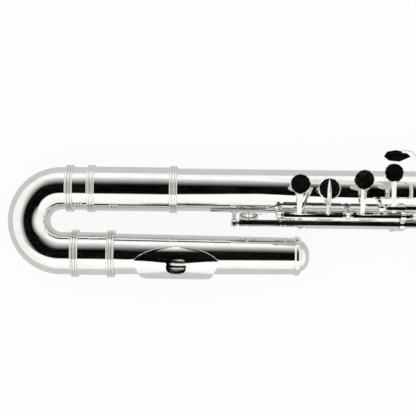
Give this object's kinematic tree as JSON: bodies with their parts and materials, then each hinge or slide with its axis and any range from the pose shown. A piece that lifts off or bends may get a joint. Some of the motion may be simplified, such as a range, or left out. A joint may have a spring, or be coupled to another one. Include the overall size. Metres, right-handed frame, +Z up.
{
  "type": "alto flute",
  "caption": "Alto flute with a curved head: tube, drawn tone holes, hinged key cups with pads on steels and posts, and a turned crown",
  "frame": {"origin": "centre of the bounding box, on the plane that the flute lies on", "axes": "+X along the tubes from the bend to the foot, +Y away from the player, +Z up on the side of the keys"},
  "size_m": [0.7114, 0.0826, 0.0438],
  "materials": {
    "silver": "polished",
    "steel": "satin",
    "gold": "polished",
    "cork": "matte",
    "pad": "matte"
  },
  "bodies": {
    "flute_body": {"barrel": "silver", "body_tube": "silver", "foot_tube": "silver", "foot_end_ring": "silver", "main_rib": "silver", "lower_rib": "silver", "foot_rib": "silver", "bridge_post": "silver", "c_sharp_steel": "steel", "g_sharp_steel": "steel", "right_hand_steel": "steel", "thumb_steel": "steel", "trill_spring": "gold", "c_sharp_spring": "gold", "a_spring": "gold"},
    "head_joint": {"head_bend": "silver", "head_tenon": "silver", "embouchure_socket": "silver", "embouchure_tube": "silver", "embouchure_riser": "silver", "lip_plate": "silver", "stopper_rod": "steel", "stopper_cork": "cork", "stopper_washer": "steel"},
    "crown": {"crown": "silver"},
    "c_sharp_key": {"c_sharp_key": "silver", "c_sharp_pad": "pad"},
    "a_key": {"a_key": "silver", "a_pad": "pad"},
    "b_flat_key": {"b_flat_key": "silver", "b_flat_pad": "pad"},
    "g_key": {"g_key": "silver", "g_pad": "pad", "g_second_pad": "pad"},
    "g_sharp_lever": {"g_sharp_lever": "silver"},
    "g_sharp_key": {"g_sharp_key": "silver", "g_sharp_pad": "pad"},
    "f_sharp_key": {"f_sharp_key": "silver", "f_sharp_pad": "pad"},
    "f_key": {"f_key": "silver", "f_pad": "pad"},
    "e_key": {"e_key": "silver", "e_pad": "pad"},
    "d_key": {"d_key": "silver", "d_pad": "pad"},
    "d_sharp_trill_key": {"d_sharp_trill_key": "silver", "d_sharp_trill_pad": "pad"},
    "d_trill_key": {"d_trill_key": "silver", "d_trill_pad": "pad"},
    "thumb_b_key": {"thumb_b_key": "silver", "thumb_b_pad": "pad"},
    "thumb_b_flat_lever": {"thumb_b_flat_lever": "silver"},
    "e_flat_key": {"e_flat_key": "silver", "e_flat_pad": "pad"},
    "low_c_sharp_key": {"low_c_sharp_key": "silver", "low_c_sharp_pad": "pad"},
    "low_c_key": {"low_c_key": "silver", "low_c_pad": "pad"},
    "low_c_roller": {"low_c_roller": "silver"},
    "low_c_sharp_roller": {"low_c_sharp_roller": "silver"}
  },
  "joints": [
    {"name": "tuning_slide", "type": "slide", "parent": "flute_body", "child": "head_joint", "axis": [-1, 0, 0], "range_m": [0, 0.012]},
    {"name": "crown_turn", "type": "hinge", "parent": "head_joint", "child": "crown", "pos_m": [-0.17313, -0.02623, 0.01525], "axis": [1, 0, 0], "range_deg": [-180, 180]},
    {"name": "c_sharp_press", "type": "hinge", "parent": "flute_body", "child": "c_sharp_key", "pos_m": [-0.15302, 0.00007, 0.02855], "axis": [-1, 0, 0], "range_deg": [0, 7.5], "stiffness_Nm_per_rad": 0.05, "springref_deg": -17.19},
    {"name": "a_press", "type": "hinge", "parent": "flute_body", "child": "a_key", "pos_m": [-0.04122, 0.00007, 0.02855], "axis": [-1, 0, 0], "range_deg": [0, 7.5], "stiffness_Nm_per_rad": 0.05, "springref_deg": -17.19},
    {"name": "b_flat_press", "type": "hinge", "parent": "flute_body", "child": "b_flat_key", "pos_m": [-0.06903, 0.00007, 0.02855], "axis": [-1, 0, 0], "range_deg": [0, 7.5]},
    {"name": "g_press", "type": "hinge", "parent": "flute_body", "child": "g_key", "pos_m": [-0.01172, 0.00517, 0.04125], "axis": [-1, 0, 0], "range_deg": [0, 9], "stiffness_Nm_per_rad": 0.05, "springref_deg": -17.19},
    {"name": "g_sharp_press", "type": "hinge", "parent": "flute_body", "child": "g_sharp_lever", "pos_m": [-0.09863, 0.00517, 0.04125], "axis": [-1, 0, 0], "range_deg": [0, 7], "stiffness_Nm_per_rad": 0.05, "springref_deg": -17.19},
    {"name": "g_sharp_cup", "type": "hinge", "parent": "flute_body", "child": "g_sharp_key", "pos_m": [0.01947, 0.03347, 0.02575], "axis": [1, 0, 0], "range_deg": [0, 7.9]},
    {"name": "f_sharp_press", "type": "hinge", "parent": "flute_body", "child": "f_sharp_key", "pos_m": [0.05267, 0.00007, 0.02855], "axis": [-1, 0, 0], "range_deg": [0, 7.5]},
    {"name": "f_press", "type": "hinge", "parent": "flute_body", "child": "f_key", "pos_m": [0.08768, 0.00007, 0.02855], "axis": [-1, 0, 0], "range_deg": [0, 7.5], "stiffness_Nm_per_rad": 0.05, "springref_deg": -17.19},
    {"name": "e_press", "type": "hinge", "parent": "flute_body", "child": "e_key", "pos_m": [0.12487, 0.00007, 0.02855], "axis": [-1, 0, 0], "range_deg": [0, 7.5], "stiffness_Nm_per_rad": 0.05, "springref_deg": -17.19},
    {"name": "d_press", "type": "hinge", "parent": "flute_body", "child": "d_key", "pos_m": [0.16428, 0.00007, 0.02855], "axis": [-1, 0, 0], "range_deg": [0, 7.5], "stiffness_Nm_per_rad": 0.05, "springref_deg": -17.19},
    {"name": "d_sharp_trill_press", "type": "hinge", "parent": "flute_body", "child": "d_sharp_trill_key", "pos_m": [0.14458, -0.00533, 0.02325], "axis": [-1, 0, 0], "range_deg": [0, 7], "stiffness_Nm_per_rad": 0.05, "springref_deg": -17.19},
    {"name": "d_trill_press", "type": "hinge", "parent": "flute_body", "child": "d_trill_key", "pos_m": [0.10627, -0.00533, 0.02325], "axis": [-1, 0, 0], "range_deg": [0, 7], "stiffness_Nm_per_rad": 0.05, "springref_deg": -17.19},
    {"name": "thumb_b_press", "type": "hinge", "parent": "flute_body", "child": "thumb_b_key", "pos_m": [-0.12593, -0.00633, 0.01745], "axis": [1, 0, 0], "range_deg": [0, 10], "stiffness_Nm_per_rad": 0.05, "springref_deg": -17.19},
    {"name": "thumb_b_flat_press", "type": "hinge", "parent": "flute_body", "child": "thumb_b_flat_lever", "pos_m": [-0.15243, -0.00633, 0.01745], "axis": [1, 0, 0], "range_deg": [0, 10], "stiffness_Nm_per_rad": 0.05, "springref_deg": -17.19},
    {"name": "e_flat_press", "type": "hinge", "parent": "flute_body", "child": "e_flat_key", "pos_m": [0.20597, 0.00007, 0.02855], "axis": [1, 0, 0], "range_deg": [0, 8], "stiffness_Nm_per_rad": 0.05, "springref_deg": -17.19},
    {"name": "low_c_sharp_press", "type": "hinge", "parent": "flute_body", "child": "low_c_sharp_key", "pos_m": [0.25017, 0.00007, 0.02855], "axis": [-1, 0, 0], "range_deg": [0, 7.5], "stiffness_Nm_per_rad": 0.05, "springref_deg": -17.19},
    {"name": "low_c_press", "type": "hinge", "parent": "flute_body", "child": "low_c_key", "pos_m": [0.29707, 0.00007, 0.02855], "axis": [-1, 0, 0], "range_deg": [0, 7.5], "stiffness_Nm_per_rad": 0.05, "springref_deg": -17.19},
    {"name": "low_c_sharp_roller_spin", "type": "hinge", "parent": "low_c_sharp_key", "child": "low_c_sharp_roller", "pos_m": [0.23708, 0.01209, 0.0384], "axis": [1, 0, 0], "continuous": true},
    {"name": "low_c_roller_spin", "type": "hinge", "parent": "low_c_key", "child": "low_c_roller", "pos_m": [0.22407, 0.01209, 0.0384], "axis": [1, 0, 0], "continuous": true}
  ],
  "couplings": [
    {"joint": "b_flat_press", "follows": "a_press", "ratio": 1},
    {"joint": "f_sharp_press", "follows": "f_press", "ratio": 1},
    {"joint": "g_sharp_cup", "follows": "g_sharp_press", "ratio": 1.128}
  ]
}
